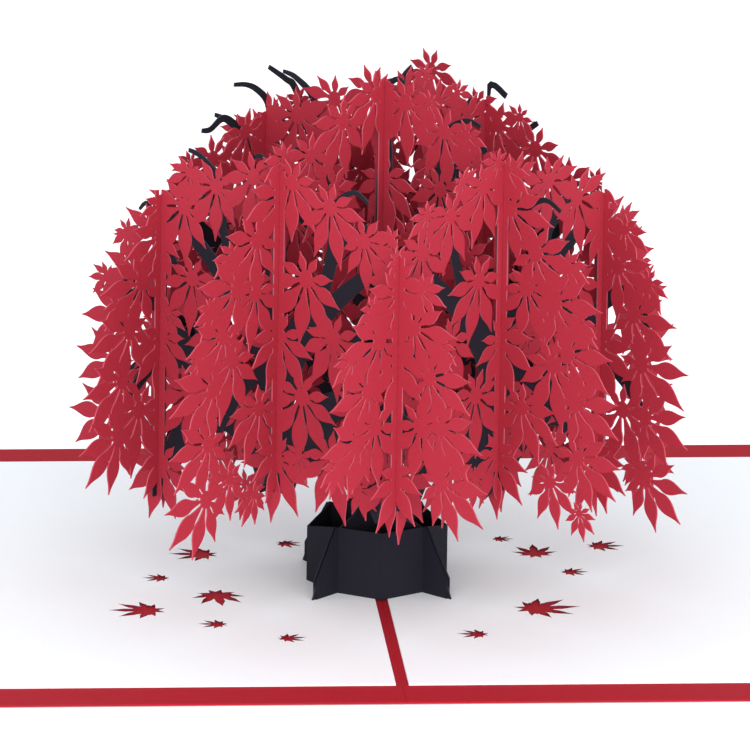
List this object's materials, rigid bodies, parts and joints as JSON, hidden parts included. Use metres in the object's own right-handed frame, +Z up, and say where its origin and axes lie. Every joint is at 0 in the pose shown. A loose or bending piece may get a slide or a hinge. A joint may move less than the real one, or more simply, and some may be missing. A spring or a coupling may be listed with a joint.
{
  "type": "pop up card",
  "caption": "Pop up card opened flat, with a weeping maple tree of slotted red leaf sheets and black branch sheets.",
  "frame": {"origin": "on the underside of the cover, below the middle of the opened card", "axes": "+X across the fold to the right, +Y along the fold to the back, +Z up out of the card"},
  "size_m": [0.254, 0.178, 0.1092],
  "materials": {
    "red_card": "matt",
    "white_card": "matt",
    "black_paper": "matt",
    "red_paper": "matt"
  },
  "bodies": {
    "root": {"cover": "red_card", "liner_left": "white_card", "liner_right": "white_card", "branch_sheet_a1": "black_paper", "branch_sheet_a2": "black_paper", "branch_sheet_a3": "black_paper", "branch_sheet_b1": "black_paper", "branch_sheet_b2": "black_paper", "branch_sheet_b3": "black_paper", "leaf_sheet_a1": "red_paper", "leaf_sheet_a2": "red_paper", "leaf_sheet_a3": "red_paper", "leaf_sheet_b1": "red_paper", "leaf_sheet_b2": "red_paper", "leaf_sheet_b3": "red_paper", "root_skin_front": "black_paper", "root_skin_left": "black_paper", "root_skin_back": "black_paper", "root_skin_right": "black_paper"}
  },
  "joints": []
}
